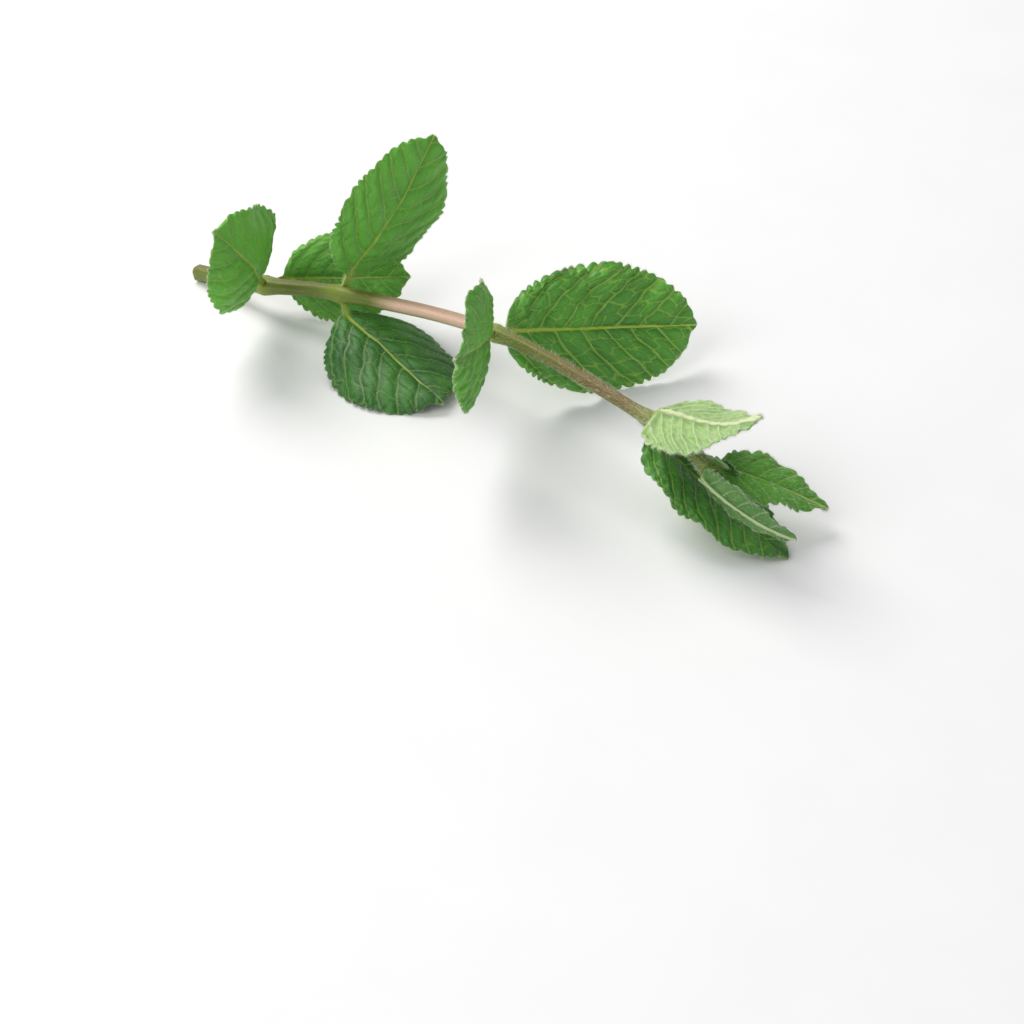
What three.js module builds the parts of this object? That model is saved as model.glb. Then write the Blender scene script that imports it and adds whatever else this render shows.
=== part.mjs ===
// A cut sprig of garden mint, lying on a flat surface.
// Millimetres, +Z up. The stem runs along +X from its cut end to its growing tip.
// The origin is under the middle of the sprig, on the surface.
// Each leaf is its own solid, and so are the stem and the tip bud.
import * as THREE from "three";

// ---- Stem ----
const STEM_WIDTH_AT_CUT = 3.6; // across the flats of the square stem
const STEM_WIDTH_AT_TIP = 2.2;
const STEM_CORNER = 0.12; // how far the corners stand out, as a share of the half width
const NODE_SWELLING = 0.45; // added to the half width where a pair of leaves grows
const NODE_SWELLING_LENGTH = 3.0; // reach of that swelling along the stem

// The stem's lengths between joints, from the cut end to the tip.
// heading turns left from +X and rise turns up from level, in degrees.
const INTERNODES = [
  { length: 22.7, heading: 3, rise: 13 },
  { length: 21.2, heading: 12, rise: 11 },
  { length: 47.0, heading: 1, rise: 11 },
  { length: 43.2, heading: -1.5, rise: -2.5 },
  { length: 16.6, heading: -5, rise: -12.5 },
];

// ---- Leaves ----
const LEAF_THICKNESS = 0.6;
const PETIOLE_WIDTH = 1.7;
const GAP = 0.3; // clearance between a leaf's foot and the stem

// joint is the stem joint that the leaf grows from, counted from the cut end.
// heading and rise aim the leaf as it leaves the stem. roll turns its face:
// 0 is face up, 90 is face to the left of its own heading, -90 to the right.
// droop is how far its midrib turns away from its face by the tip, and twist how
// far its face turns by the tip. fold lifts both halves off the flat at the midrib,
// and curl turns the margins back down again. widest is where along the blade.
// A leaf that rests turns up or down from its rise until it just meets the surface.
const LEAVES = [
  {
    name: "leaf_1_near", joint: 1, heading: -34, rise: 38, roll: 126, droop: 44, twist: 0,
    length: 36.5, width: 26.5, petiole: 3, fold: 12, curl: 18, widest: 0.5,
  },
  {
    name: "leaf_1_far", joint: 1, heading: 19, rise: 12, roll: -65, droop: 24, twist: 0, rests: true,
    length: 32, width: 21.5, petiole: 3, fold: 12, curl: 16, widest: 0.48,
  },
  {
    name: "leaf_2_upper", joint: 2, heading: 38, rise: 51, roll: -120, droop: 26, twist: 0,
    length: 39.5, width: 26.5, petiole: 3, fold: 12, curl: 16, widest: 0.5,
  },
  {
    name: "leaf_2_lower", joint: 2, heading: -9, rise: -9, roll: -3, droop: 3.5, twist: 0, rests: true,
    length: 37.5, width: 30, petiole: 3, fold: 10, curl: 26, widest: 0.5,
  },
  {
    name: "leaf_3_far", joint: 3, heading: 64, rise: -9, roll: -63, droop: -3, twist: 0, rests: true,
    length: 46.5, width: 29.5, petiole: 1.5, fold: 10, curl: 16, widest: 0.52,
  },
  {
    name: "leaf_3_near", joint: 3, heading: -50, rise: 24, roll: 95, droop: 17.5, twist: 0,
    length: 35, width: 28.5, petiole: 2.5, fold: 12, curl: 16, widest: 0.48,
  },
  {
    name: "leaf_4_upper", joint: 4, heading: -3, rise: 9, roll: 176, droop: 14, twist: 0,
    length: 29, width: 20, petiole: 2, fold: 18, curl: 8, widest: 0.4,
  },
  {
    name: "leaf_4_lower", joint: 4, heading: -1, rise: -26, roll: 11, droop: -8, twist: 0, rests: true,
    length: 38, width: 22.5, petiole: 1.5, fold: 18, curl: 22, widest: 0.45,
  },
  {
    name: "leaf_5_far", joint: 5, heading: 33, rise: -16, roll: -14, droop: 10, twist: 0,
    length: 24, width: 13.5, petiole: 1, fold: 24, curl: 20, widest: 0.4,
  },
  {
    name: "leaf_5_near", joint: 5, heading: -20, rise: -10, roll: 84, droop: -34, twist: 0,
    length: 24.5, width: 10, petiole: 1, fold: 30, curl: 20, widest: 0.4,
  },
];
const BLUNTNESS = 0.5; // below 1 the outline is fuller at both ends
const SETTLING_REACH = 20; // most that a resting leaf turns to meet the surface
const LEAF_STEPS_ALONG = 18;
const LEAF_STEPS_ACROSS = 10;

// ---- Tip bud ----
const BUD_LENGTH = 4.0;
const BUD_WIDTH = 2.2;

const UP = new THREE.Vector3(0, 0, 1);

function directionOf(headingDegrees, riseDegrees) {
  const heading = THREE.MathUtils.degToRad(headingDegrees);
  const rise = THREE.MathUtils.degToRad(riseDegrees);
  return new THREE.Vector3(
    Math.cos(rise) * Math.cos(heading),
    Math.cos(rise) * Math.sin(heading),
    Math.sin(rise),
  );
}

// ---- Stem path ----
const cutTilt = THREE.MathUtils.degToRad(INTERNODES[0].rise);
const cutRadius = STEM_WIDTH_AT_CUT / 2;
const joints = [new THREE.Vector3(0, 0, cutRadius * Math.cos(cutTilt))];
for (const part of INTERNODES) {
  const step = directionOf(part.heading, part.rise).multiplyScalar(part.length);
  joints.push(joints.at(-1).clone().add(step));
}
const stemPath = new THREE.CatmullRomCurve3(joints, false, "catmullrom", 0.5);

function stemHalfWidth(at) {
  const taper = THREE.MathUtils.lerp(STEM_WIDTH_AT_CUT, STEM_WIDTH_AT_TIP, at) / 2;
  const here = stemPath.getPoint(at);
  let swelling = 0;
  for (const joint of joints.slice(1)) {
    const reach = here.distanceTo(joint) / NODE_SWELLING_LENGTH;
    swelling += NODE_SWELLING * Math.exp(-reach * reach);
  }
  return taper + swelling;
}

// A unit cylinder, bent along the stem's path and given its square section.
function makeStem() {
  const geometry = new THREE.CylinderGeometry(1, 1, 1, 20, 80);
  const points = geometry.attributes.position;
  for (let i = 0; i < points.count; i += 1) {
    const at = 0.5 - points.getY(i);
    const across = points.getX(i);
    const upward = points.getZ(i);
    const tangent = stemPath.getTangent(at).normalize();
    const side = new THREE.Vector3().crossVectors(UP, tangent).normalize();
    const top = new THREE.Vector3().crossVectors(tangent, side);
    const angle = Math.atan2(upward, across);
    const radius = stemHalfWidth(at) * (1 + STEM_CORNER * Math.sin(2 * angle) ** 2);
    const point = stemPath.getPoint(at);
    point.addScaledVector(side, across * radius);
    point.addScaledVector(top, upward * radius);
    points.setXYZ(i, point.x, point.y, point.z);
  }
  return geometry;
}

// ---- Leaf surface ----
function leafFrame(leaf) {
  const forward = directionOf(leaf.heading, leaf.rise);
  const left = new THREE.Vector3().crossVectors(UP, forward).normalize();
  const face = new THREE.Vector3().crossVectors(forward, left);
  face.applyAxisAngle(forward, -THREE.MathUtils.degToRad(leaf.roll));
  return { forward, face };
}

function leafHalfWidth(leaf, along) {
  const foot = leaf.petiole / leaf.length;
  const petiole = PETIOLE_WIDTH / 2;
  if (along <= foot) {
    return petiole;
  }
  const blade = Math.min((along - foot) / (1 - foot), 1);
  const shift = Math.log(0.5) / Math.log(leaf.widest);
  const outline = Math.max(Math.sin(Math.PI * blade ** shift), 0) ** BLUNTNESS;
  return petiole * (1 - 0.5 * blade) + (leaf.width / 2 - petiole) * outline;
}

// along runs 0 to 1 from foot to tip, across -1 to 1 from right margin to left,
// and through -0.5 to 0.5 from the underside to the upper face.
function leafPoint(leaf, foot, frame, along, across, through) {
  const droop = THREE.MathUtils.degToRad(leaf.droop);
  const turn = droop * along;
  const reach = (leaf.length * Math.sin(turn)) / droop;
  const sink = (leaf.length * (1 - Math.cos(turn))) / droop;
  const forward = frame.forward.clone().multiplyScalar(Math.cos(turn));
  forward.addScaledVector(frame.face, -Math.sin(turn));
  const face = frame.face.clone().multiplyScalar(Math.cos(turn));
  face.addScaledVector(frame.forward, Math.sin(turn));
  face.applyAxisAngle(forward, -THREE.MathUtils.degToRad(leaf.twist) * along);
  const left = new THREE.Vector3().crossVectors(face, forward);

  const out = leafHalfWidth(leaf, along) * across;
  const tilt = THREE.MathUtils.degToRad(leaf.fold - leaf.curl * Math.abs(across));
  const point = foot.clone();
  point.addScaledVector(frame.forward, reach);
  point.addScaledVector(frame.face, -sink);
  point.addScaledVector(left, out * Math.cos(tilt));
  point.addScaledVector(face, Math.abs(out) * Math.sin(tilt));
  point.addScaledVector(face, LEAF_THICKNESS * through);
  return point;
}

// The foot stands clear of the stem by GAP, whatever way the leaf leaves it.
function leafFoot(leaf, frame) {
  const at = leaf.joint / (joints.length - 1);
  const tangent = stemPath.getTangent(at).normalize();
  const outward = frame.forward.clone().addScaledVector(tangent, -frame.forward.dot(tangent));
  outward.normalize();
  const lean = Math.abs(frame.forward.dot(tangent));
  const clear = stemHalfWidth(at) * (1 + STEM_CORNER) + GAP + (PETIOLE_WIDTH / 2) * lean;
  return stemPath.getPoint(at).addScaledVector(outward, clear);
}

function lowestPoint(leaf) {
  const frame = leafFrame(leaf);
  const foot = leafFoot(leaf, frame);
  let lowest = foot.z;
  for (let i = 0; i <= LEAF_STEPS_ALONG; i += 1) {
    for (let j = 0; j <= LEAF_STEPS_ACROSS; j += 1) {
      const across = (2 * j) / LEAF_STEPS_ACROSS - 1;
      const along = i / LEAF_STEPS_ALONG;
      for (const through of [-0.5, 0.5]) {
        lowest = Math.min(lowest, leafPoint(leaf, foot, frame, along, across, through).z);
      }
    }
  }
  return lowest;
}

// Halving search for the rise at which the leaf's lowest point is on the surface.
function settled(leaf) {
  if (!leaf.rests) {
    return leaf;
  }
  let low = leaf.rise - SETTLING_REACH;
  let high = leaf.rise + SETTLING_REACH;
  for (let i = 0; i < 30; i += 1) {
    const rise = (low + high) / 2;
    if (lowestPoint({ ...leaf, rise }) < 0) {
      low = rise;
    } else {
      high = rise;
    }
  }
  return { ...leaf, rise: high };
}

// A flat box, bent into the leaf's surface.
function makeLeaf(leaf) {
  const frame = leafFrame(leaf);
  const foot = leafFoot(leaf, frame);
  const geometry = new THREE.BoxGeometry(1, 2, 1, LEAF_STEPS_ALONG, LEAF_STEPS_ACROSS, 1);
  const points = geometry.attributes.position;
  for (let i = 0; i < points.count; i += 1) {
    const along = points.getX(i) + 0.5;
    const point = leafPoint(leaf, foot, frame, along, points.getY(i), points.getZ(i));
    points.setXYZ(i, point.x, point.y, point.z);
  }
  return geometry;
}

// ---- Tip bud: a small pointed spindle on the end of the stem ----
function makeBud() {
  const profile = new THREE.CatmullRomCurve3([
    new THREE.Vector3(0.3, 0, 0),
    new THREE.Vector3(0.5, 0.2, 0),
    new THREE.Vector3(0.42, 0.6, 0),
    new THREE.Vector3(0.12, 0.95, 0),
  ]);
  const outline = [new THREE.Vector2(0, 0)];
  for (const point of profile.getPoints(8)) {
    outline.push(new THREE.Vector2(point.x * BUD_WIDTH, point.y * BUD_LENGTH));
  }
  outline.push(new THREE.Vector2(0, BUD_LENGTH));
  return new THREE.LatheGeometry(outline, 14);
}

// ---- Assembly ----
const stemColour = new THREE.MeshStandardMaterial({ color: "#8a8550", roughness: 0.55, metalness: 0 });
const leafColour = new THREE.MeshStandardMaterial({ color: "#3f7d3a", roughness: 0.55, metalness: 0 });

const sprig = new THREE.Group();
sprig.name = "mint_sprig";

function addMesh(name, geometry, material) {
  geometry.computeVertexNormals();
  const mesh = new THREE.Mesh(geometry, material.clone());
  mesh.name = name;
  sprig.add(mesh);
  return mesh;
}

addMesh("stem", makeStem(), stemColour);
for (const leaf of LEAVES) {
  addMesh(leaf.name, makeLeaf(settled(leaf)), leafColour);
}

const bud = addMesh("tip_bud", makeBud(), leafColour);
const tipDirection = stemPath.getTangent(1).normalize();
bud.quaternion.setFromUnitVectors(new THREE.Vector3(0, 1, 0), tipDirection);
bud.position.copy(joints.at(-1)).addScaledVector(tipDirection, GAP);

// The origin goes to the middle of the footprint, on the surface.
sprig.updateMatrixWorld(true);
const extent = new THREE.Box3().setFromObject(sprig, true);
const middle = extent.getCenter(new THREE.Vector3());
sprig.position.set(-middle.x, -middle.y, -extent.min.z);

export default sprig;
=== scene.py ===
"""A cut sprig of garden mint lying on a pale surface.

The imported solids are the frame. Each leaf, the stem and the tip bud are built here again at
full detail, in the same places, from the same sizes. Sizes in the tables are millimetres and
degrees, and become metres when a mesh is finished.
"""
import math
from types import SimpleNamespace

import bmesh
import bpy
import numpy as np
from bpy.props import FloatProperty, FloatVectorProperty, PointerProperty
from mathutils import Matrix, Vector


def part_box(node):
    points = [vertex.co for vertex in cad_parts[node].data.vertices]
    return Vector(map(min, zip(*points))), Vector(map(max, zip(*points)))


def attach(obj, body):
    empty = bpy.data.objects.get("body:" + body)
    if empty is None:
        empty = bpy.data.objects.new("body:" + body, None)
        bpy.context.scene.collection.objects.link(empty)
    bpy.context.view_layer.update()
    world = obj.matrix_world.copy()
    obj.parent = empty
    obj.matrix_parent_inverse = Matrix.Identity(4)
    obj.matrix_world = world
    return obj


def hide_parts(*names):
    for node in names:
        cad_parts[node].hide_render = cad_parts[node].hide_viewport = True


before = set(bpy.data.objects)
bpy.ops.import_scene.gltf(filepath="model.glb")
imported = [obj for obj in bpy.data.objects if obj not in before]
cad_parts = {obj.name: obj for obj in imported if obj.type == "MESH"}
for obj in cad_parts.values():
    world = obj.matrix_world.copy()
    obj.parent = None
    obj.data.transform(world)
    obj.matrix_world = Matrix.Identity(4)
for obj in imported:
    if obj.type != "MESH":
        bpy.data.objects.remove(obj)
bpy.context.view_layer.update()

bl_info = {
    "name": "Mint sprig",
    "version": (1, 0, 0),
    "blender": (4, 5, 0),
    "location": "3D View > Sidebar > Mint",
    "description": "A cut sprig of garden mint with toothed, quilted and downy leaves",
    "category": "Add Mesh",
}

MM = 0.001
SEED = 1926

# ---- Sizes shared with the solids, in millimetres and degrees ----
STEM_WIDTH_AT_CUT = 3.6
STEM_WIDTH_AT_TIP = 2.2
STEM_CORNER = 0.12
NODE_SWELLING = 0.45
NODE_SWELLING_LENGTH = 3.0
# length, heading and rise of each length of stem between two joints
INTERNODES = [
    (22.7, 3, 13),
    (21.2, 12, 11),
    (47.0, 1, 11),
    (43.2, -1.5, -2.5),
    (16.6, -5, -12.5),
]
LEAF_SOLID_THICKNESS = 0.6
PETIOLE_WIDTH = 1.7
GAP = 0.3
BLUNTNESS = 0.5
SETTLING_REACH = 20
SETTLING_ROUNDS = 30
LEAF_SOLID_STEPS = (18, 10)
STEM_SOLID_STEPS = (80, 20)

LEAF_FIELDS = (
    "name", "joint", "heading", "rise", "roll", "droop",
    "length", "width", "petiole", "fold", "curl", "widest", "rests",
)
LEAF_ROWS = [
    ("leaf_1_near", 1, -34, 38, 126, 44, 36.5, 26.5, 3, 12, 18, 0.5, False),
    ("leaf_1_far", 1, 19, 12, -65, 24, 32, 21.5, 3, 12, 16, 0.48, True),
    ("leaf_2_upper", 2, 38, 51, -120, 26, 39.5, 26.5, 3, 12, 16, 0.5, False),
    ("leaf_2_lower", 2, -9, -9, -3, 3.5, 37.5, 30, 3, 10, 26, 0.5, True),
    ("leaf_3_far", 3, 64, -9, -63, -3, 46.5, 29.5, 1.5, 10, 16, 0.52, True),
    ("leaf_3_near", 3, -50, 24, 95, 17.5, 35, 28.5, 2.5, 12, 16, 0.48, False),
    ("leaf_4_upper", 4, -3, 9, 176, 14, 29, 20, 2, 18, 8, 0.4, False),
    ("leaf_4_lower", 4, -1, -26, 11, -8, 38, 22.5, 1.5, 18, 22, 0.45, True),
    ("leaf_5_far", 5, 33, -16, -14, 10, 24, 13.5, 1, 24, 20, 0.4, False),
    ("leaf_5_near", 5, -20, -10, 84, -34, 24.5, 10, 1, 30, 20, 0.4, False),
]
# Leaflets folded round the growing tip, as further rows of the same table.
BUD_ROWS = [
    ("bud_1", 5, 8, -11, -82, -16, 4.6, 3.0, 0.4, 30, 10, 0.42, False),
    ("bud_2", 5, -18, -14, 82, -16, 4.3, 2.8, 0.4, 30, 10, 0.42, False),
    ("bud_3", 5, -4, -3, 172, -14, 3.2, 2.0, 0.3, 34, 8, 0.42, False),
    ("bud_4", 5, -6, -22, 6, -14, 3.4, 2.0, 0.3, 34, 8, 0.42, False),
]
LEAVES, BUD_LEAVES = (
    [dict(zip(LEAF_FIELDS, row)) for row in rows] for rows in (LEAF_ROWS, BUD_ROWS))

# ---- What only the finished sprig has ----
# Pairs of side veins, how young a leaf is from 0 to 1, how light and yellow its green is, how
# strongly its veins and quilting show, its margin's waves in mm, and grid steps along and across.
LEAF_FINISH = {
    "leaf_1_near": (6, 0.0, 0.78, 0.55, 0.5, 150, 110),
    "leaf_1_far": (6, 0.0, 0.40, 0.70, 0.6, 150, 110),
    "leaf_2_upper": (7, 0.0, 0.55, 0.65, 0.6, 170, 120),
    "leaf_2_lower": (6, 0.0, -0.30, 0.42, 0.6, 170, 120),
    "leaf_3_far": (7, 0.0, 0.28, 1.15, 0.7, 210, 150),
    "leaf_3_near": (6, 0.05, 0.55, 0.75, 0.5, 180, 130),
    "leaf_4_upper": (8, 1.0, 0.85, 0.90, 0.5, 180, 130),
    "leaf_4_lower": (8, 0.1, -0.12, 0.68, 0.7, 210, 150),
    "leaf_5_far": (6, 0.45, 0.45, 0.90, 0.5, 150, 100),
    "leaf_5_near": (6, 0.35, -0.36, 0.42, 0.3, 150, 100),
}
BUD_FINISH = (4, 1.0, 0.1, 0.2, 0.1, 64, 40)
BUD_ORDER = 20  # what the leaflets' random seeds are counted from
YOUNG = ("leaf_4_upper", "leaf_5_far", "leaf_5_near")
# How some leaves differ from the plain outline: how far the blade narrows towards its tip,
# how round its foot is, how far in mm the tip bends back, and how large its teeth are.
LEAF_SHAPE = {
    "leaf_2_upper": (0.0, 0.4, 0.0, 1.0),
    "leaf_3_far": (0.0, 0.6, 0.0, 1.0),
    "leaf_4_upper": (0.36, 1.0, 3.2, 1.35),
    "leaf_4_lower": (0.0, 0.5, 0.0, 1.1),
    "leaf_5_far": (0.25, 0.0, 0.6, 1.3),
    "leaf_5_near": (0.25, 0.3, 0.0, 1.3),
}
PLAIN_SHAPE = (0.0, 0.0, 0.0, 1.0)
FULL_WIDTH = 28  # mm across a grown leaf, whose veins and teeth are full size
PETIOLE_STEPS = 0.07  # share of a leaf's grid steps that its stalk takes
TIP_ROUNDING = 1.5  # mm of a leaf's tip that are rounded off
STALK_DEPTH = 1.45  # mm from the top of a grown leaf's stalk to its underside
MARGIN_STEPS = 800  # places along a margin where its teeth are worked out
VEINS_FROM, VEINS_TO = 0.03, 0.86  # where on the midrib the first and last side veins leave it
CLOSEST = 0.3  # mm above the surface below which a blade is pressed up
# What each point of a leaf keeps for the materials, in the order that they are read.
LEAF_VALUES = ("vein_phase", "vein_spacing", "net_distance", "rib_distance",
               "painted_puff_light", "tone", "veining", "stalk")
STEM_STEPS = (620, 56)
# Where along the stem each of its colours is, with the joints at every 0.2 from the cut.
# the pale pink between the second and third joints is partly the stem's own pink and partly a
# painted highlight
STEM_COLOURS = ((0.45, "stem_green"), (0.485, "stem_pink_and_highlight"), (0.57, "stem_pink_and_highlight"),
                (0.605, "stem_joint"), (0.71, "stem_flush"), (0.86, "stem_flush"),
                (0.93, "stem_joint"))
# Rings of the cut end from its rim inwards: the width each keeps of the last, and its depth.
CUT_RINGS = ((0.94, 0.03), (0.82, 0.08), (0.74, 0.08), (0.66, 0.04), (0.60, -0.03))
LEAF_HAIRS, YOUNG_HAIRS, STEM_HAIRS = 24000, 15000, 6500
HAIR_CLEARANCE = 0.03  # mm that a hair stays above the surface, and starts below the skin
CUT_ACROSS = 0.5  # a face this square to the stem belongs to its cut end


def linear(hex_colour):
    """An sRGB hex colour as linear red, green and blue."""
    parts = [int(hex_colour[i:i + 2], 16) / 255 for i in (1, 3, 5)]
    return tuple(c / 12.92 if c <= 0.04045 else ((c + 0.055) / 1.055) ** 2.4 for c in parts)


def smooth(low, high, value):
    """0 below low, 1 above high, and an even S between."""
    t = np.clip((value - low) / (high - low), 0, 1)
    return t * t * (3 - 2 * t)


def bell(value, width):
    """1 at 0, falling away evenly on both sides over about the width."""
    return np.exp(-(value / width) ** 2)


# ---- Stem path ----
def direction(heading, rise):
    h, r = math.radians(heading), math.radians(rise)
    return np.array([math.cos(r) * math.cos(h), math.cos(r) * math.sin(h), math.sin(r)])


def stem_joints():
    """The cut end and the joints, with the cut end's lower edge on the surface."""
    cut_height = STEM_WIDTH_AT_CUT / 2 * math.cos(math.radians(INTERNODES[0][2]))
    points = [np.array([0.0, 0.0, cut_height])]
    for length, heading, rise in INTERNODES:
        points.append(points[-1] + length * direction(heading, rise))
    return np.array(points)


JOINTS = stem_joints()
STEM_LENGTH = sum(length for length, _, _ in INTERNODES)


def stem_point(at):
    """Points and unit directions of the stem's Catmull-Rom curve at shares 0 to 1."""
    at = np.atleast_1d(np.asarray(at, float))
    last = len(JOINTS) - 1
    ends = np.vstack([2 * JOINTS[0] - JOINTS[1], JOINTS, 2 * JOINTS[-1] - JOINTS[-2]])
    i = np.minimum(np.floor(at * last).astype(int), last - 1)
    u = (at * last - i)[:, None]
    a, b, c, d = (ends[i + k] for k in range(4))
    start, end = (c - a) / 2, (d - b) / 2
    cubic = 2 * b - 2 * c + start + end
    square = -3 * b + 3 * c - 2 * start - end
    points = cubic * u ** 3 + square * u ** 2 + start * u + b
    along = 3 * cubic * u ** 2 + 2 * square * u + start
    return points, along / np.linalg.norm(along, axis=1, keepdims=True)


def stem_half_width(at):
    at = np.atleast_1d(np.asarray(at, float))
    here = stem_point(at)[0]
    half = (STEM_WIDTH_AT_CUT + (STEM_WIDTH_AT_TIP - STEM_WIDTH_AT_CUT) * at) / 2
    for joint in JOINTS[1:]:
        gap = np.linalg.norm(here - joint, axis=1)
        half = half + NODE_SWELLING * bell(gap, NODE_SWELLING_LENGTH)
    return half


def stem_sides(tangent):
    """Sideways and upward unit vectors square to each direction."""
    side = np.cross([0, 0, 1], tangent)
    side /= np.linalg.norm(side, axis=1, keepdims=True)
    return side, np.cross(tangent, side)


# ---- Leaf surface ----
def leaf_frame(leaf):
    """The leaf's unit directions at its foot: ahead along it, and up out of its upper face."""
    forward = direction(leaf["heading"], leaf["rise"])
    left = np.cross([0, 0, 1], forward)
    left /= np.linalg.norm(left)
    turn = Matrix.Rotation(math.radians(-leaf["roll"]), 3, Vector(forward))
    return forward, np.array(turn @ Vector(np.cross(forward, left)))


def blade_share(leaf, along):
    """How far along the blade, from 0 at its foot to 1 at its tip."""
    foot = leaf["petiole"] / leaf["length"]
    return np.clip((along - foot) / (1 - foot), 0, 1)


def widening(leaf):
    """The power that moves the widest place from half way to where the leaf has it."""
    return math.log(0.5) / math.log(leaf["widest"])


def leaf_half_width(leaf, along):
    petiole = min(PETIOLE_WIDTH / 2, 0.16 * leaf["width"])
    blade = blade_share(leaf, along)
    outline = np.maximum(np.sin(math.pi * blade ** widening(leaf)), 0) ** BLUNTNESS
    wide = petiole * (1 - 0.5 * blade) + (leaf["width"] / 2 - petiole) * outline
    return np.where(along <= leaf["petiole"] / leaf["length"], petiole, wide)


def leaf_foot(leaf):
    """Where the leaf's stalk starts, clear of the stem's side."""
    forward, _ = leaf_frame(leaf)
    at = leaf["joint"] / (len(JOINTS) - 1)
    point, tangent = (v[0] for v in stem_point(at))
    lean = float(forward @ tangent)
    outward = forward - tangent * lean
    outward /= np.linalg.norm(outward)
    clear = stem_half_width(at)[0] * (1 + STEM_CORNER) + GAP + PETIOLE_WIDTH / 2 * abs(lean)
    return point + outward * clear


def on_leaf(leaf, along, out, across, lift):
    """Points on a leaf: along its midrib from 0 to 1, out from it in mm, and lifted in mm.

    across is the same way out as a share of the half width, which sets the tilt there.
    """
    forward, face = leaf_frame(leaf)
    foot = leaf_foot(leaf)
    droop = math.radians(leaf["droop"])
    turn = (droop * along)[:, None]
    reach = leaf["length"] * np.sin(turn) / droop
    sink = leaf["length"] * (1 - np.cos(turn)) / droop
    ahead = forward * np.cos(turn) - face * np.sin(turn)
    up = face * np.cos(turn) + forward * np.sin(turn)
    left = np.cross(up, ahead)
    tilt = np.radians(leaf["fold"] - leaf["curl"] * np.abs(across))
    level = out * np.cos(tilt) - np.sign(out) * np.sin(tilt) * lift
    raised = np.abs(out) * np.sin(tilt) + np.cos(tilt) * lift
    return foot + forward * reach - face * sink + left * level[:, None] + up * raised[:, None]


def lowest_solid_point(leaf):
    steps_along, steps_across = LEAF_SOLID_STEPS
    along, across, through = (values.ravel() for values in np.meshgrid(
        np.linspace(0, 1, steps_along + 1), np.linspace(-1, 1, steps_across + 1), [-0.5, 0.5]))
    points = on_leaf(leaf, along, leaf_half_width(leaf, along) * across, across, 0 * along)
    forward, face = leaf_frame(leaf)
    turn = np.radians(leaf["droop"]) * along
    up = face * np.cos(turn)[:, None] + forward * np.sin(turn)[:, None]
    points = points + up * (through * LEAF_SOLID_THICKNESS)[:, None]
    return points[:, 2].min()


def settle(leaf):
    """A resting leaf's rise is the one at which its solid just meets the surface."""
    low, high = leaf["rise"] - SETTLING_REACH, leaf["rise"] + SETTLING_REACH
    for _ in range(SETTLING_ROUNDS):
        leaf["rise"] = (low + high) / 2
        if lowest_solid_point(leaf) < 0:
            low = leaf["rise"]
        else:
            high = leaf["rise"]
    leaf["rise"] = high


for _leaf in LEAVES:
    if _leaf["rests"]:
        settle(_leaf)


def sprig_offset():
    """What moves the sprig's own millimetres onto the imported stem, which is in metres."""
    steps_along, steps_around = STEM_SOLID_STEPS
    at = np.linspace(0, 1, steps_along + 1)
    points, tangent = stem_point(at)
    side, top = stem_sides(tangent)
    half = stem_half_width(at)
    lowest = points.min(axis=0)
    for angle in np.arange(steps_around) * math.tau / steps_around:
        ring = half * (1 + STEM_CORNER * math.sin(2 * angle) ** 2)
        edge = (points + side * (math.cos(angle) * ring)[:, None]
                + top * (math.sin(angle) * ring)[:, None])
        lowest = np.minimum(lowest, edge.min(axis=0))
    return np.array(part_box("stem")[0]) / MM - lowest


OFFSET = sprig_offset()


# ---- Meshes ----
def new_mesh(bm, name):
    """A mesh of what the bmesh holds, which is then freed."""
    mesh = bpy.data.meshes.new(name)
    bm.to_mesh(mesh)
    bm.free()
    return mesh


def link_object(name, data):
    made = bpy.data.objects.new(name, data)
    bpy.context.scene.collection.objects.link(made)
    return made


def finish_piece(name, mesh, materials, slot, *nodes):
    """Links the piece, and says which body it rides on and which solids it stands for."""
    for material in materials:
        mesh.materials.append(material)
    mesh.shade_smooth()
    piece = link_object(name, mesh)
    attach(piece, "root")
    if nodes:
        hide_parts(*nodes)


def vectors(mesh, key):
    """One vector of each of the mesh's points: co or normal."""
    values = np.empty(len(mesh.vertices) * 3, np.float32)
    mesh.vertices.foreach_get(key, values)
    return values.reshape(-1, 3).astype(float)


def corner_points(mesh):
    """Which point each corner of the mesh's faces is at."""
    corners = np.empty(len(mesh.loops), np.int32)
    mesh.loops.foreach_get("vertex_index", corners)
    return corners


def set_points(mesh, points):
    mesh.vertices.foreach_set("co", ((points + OFFSET) * MM).astype(np.float32).ravel())
    mesh.update()


def add_values(mesh, values):
    """One number for each point under each name, for the materials to read."""
    for name, numbers in values.items():
        attribute = mesh.attributes.new(name, "FLOAT", "POINT")
        attribute.data.foreach_set("value", np.asarray(numbers, np.float32))


def shell_grid(steps_along, steps_across):
    """A closed flat shell of one grid over another, x and y from -1 to 1 and z 0 or 1."""
    bm = bmesh.new()
    bmesh.ops.create_grid(bm, x_segments=steps_along, y_segments=steps_across, size=1.0)
    made = bmesh.ops.extrude_face_region(bm, geom=bm.faces[:], use_keep_orig=True)
    upper = [v for v in made["geom"] if isinstance(v, bmesh.types.BMVert)]
    bmesh.ops.translate(bm, verts=upper, vec=(0, 0, 1))
    bmesh.ops.recalc_face_normals(bm, faces=bm.faces)
    return new_mesh(bm, "leaf")


def face_outward(mesh):
    bm = bmesh.new()
    bm.from_mesh(mesh)
    bmesh.ops.recalc_face_normals(bm, faces=bm.faces)
    bm.to_mesh(mesh)
    bm.free()


def wander(x, y, scale, seed):
    """Smooth noise of about -1 to 1, from a few waves at odd angles."""
    rng = np.random.default_rng(seed)
    total = np.zeros_like(x)
    for _ in range(6):
        angle = rng.uniform(0, math.tau)
        pitch = scale * rng.uniform(0.6, 1.6)
        phase = rng.uniform(0, math.tau)
        total += np.sin((x * math.cos(angle) + y * math.sin(angle)) * math.tau / pitch + phase)
    return total / 2.4


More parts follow.
